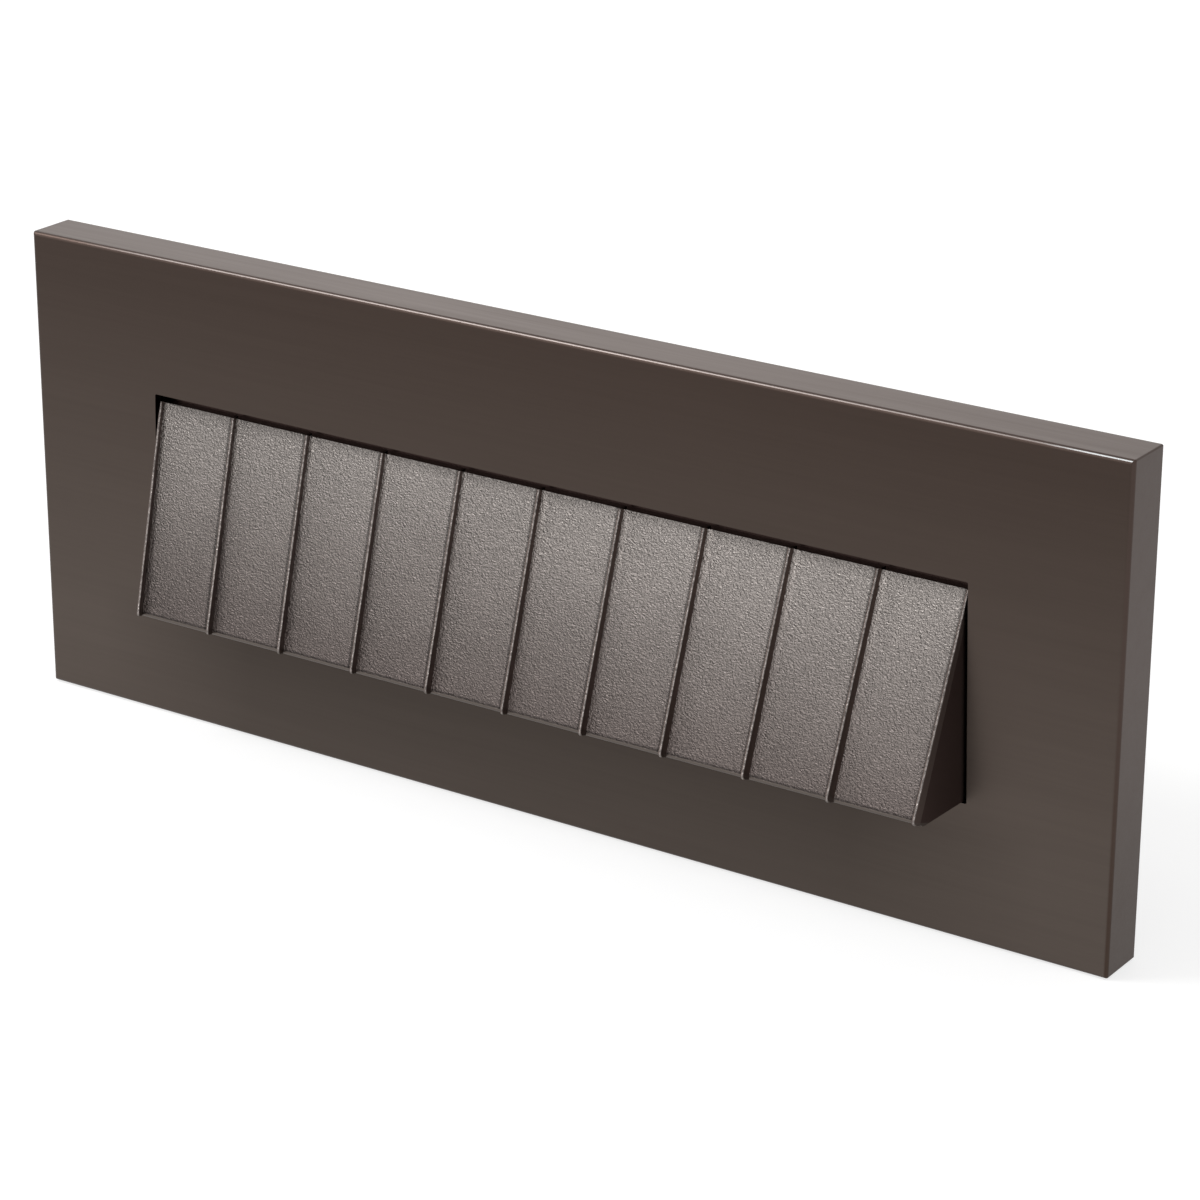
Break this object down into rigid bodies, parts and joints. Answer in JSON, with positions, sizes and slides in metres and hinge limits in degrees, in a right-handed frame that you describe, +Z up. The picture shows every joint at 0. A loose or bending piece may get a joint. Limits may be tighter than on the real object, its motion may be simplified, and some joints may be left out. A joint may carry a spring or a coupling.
{
  "type": "recessed step light",
  "caption": "Recessed step light: a plain rectangular faceplate with a sloping ribbed hood that sends light down, clipped to a wall box with a light module and driver inside.",
  "frame": {"origin": "centre of the faceplate, on the wall's surface", "axes": "+Z up, -Y out of the wall, +X to the right as seen from the front"},
  "size_m": [0.2286, 0.0566, 0.0902],
  "materials": {
    "bronze_cast": "dark bronze, faintly brushed, pebbled between the ribs",
    "box_grey": "light grey paint on a die casting",
    "zinc_steel": "zinc plated",
    "spring_steel": "bright spring strip",
    "gasket_black": "matt",
    "gasket_grey": "matt closed cell foam",
    "bracket_steel": "galvanised sheet",
    "tray_aluminium": "satin die casting",
    "frame_black": "black powder coat",
    "pad_grey": "soft thermal pad",
    "board_white": "white solder mask",
    "emitter_yellow": "clear domes over phosphor",
    "terminal_white": "moulded",
    "reflector_white": "white sheet",
    "lens_clear": "clear toughened glass",
    "driver_case": "satin silver",
    "potting": "black potting compound",
    "lead_red": "insulated lead",
    "lead_black": "insulated lead",
    "lead_white": "insulated lead",
    "lead_green": "insulated lead",
    "connector_orange": "moulded",
    "terminal_brass": "plain"
  },
  "bodies": {
    "box": {"back_box": "box_grey", "conduit_plug": "box_grey", "plug_seal": "gasket_black", "mounting_bracket": "bracket_steel", "bracket_screws": "zinc_steel", "led_tray": "tray_aluminium", "tray_screws": "zinc_steel", "thermal_pad": "pad_grey", "led_board": "board_white", "board_screws": "zinc_steel", "led_emitters": "emitter_yellow", "board_terminal": "terminal_white", "reflector": "reflector_white", "lens_gasket": "gasket_black", "lens": "lens_clear", "lens_frame": "frame_black", "frame_screws": "zinc_steel", "driver_case": "driver_case", "driver_potting": "potting", "driver_screws": "zinc_steel", "output_lead_positive": "lead_red", "output_lead_negative": "lead_black", "lead_grommet": "gasket_black", "input_lead_line": "lead_black", "input_lead_neutral": "lead_white", "wire_connectors": "connector_orange", "earth_terminal": "terminal_brass", "earth_lead": "lead_green", "earth_screw": "zinc_steel"},
    "trim": {"faceplate": "bronze_cast", "hood": "bronze_cast", "hood_gasket": "gasket_black", "hood_screws": "zinc_steel", "spring_clips": "spring_steel", "clip_screws": "zinc_steel", "wall_gasket": "gasket_grey"}
  },
  "joints": [
    {"name": "trim_slide", "type": "slide", "parent": "box", "child": "trim", "axis": [0, -1, 0], "range_m": [0, 0.02]}
  ]
}
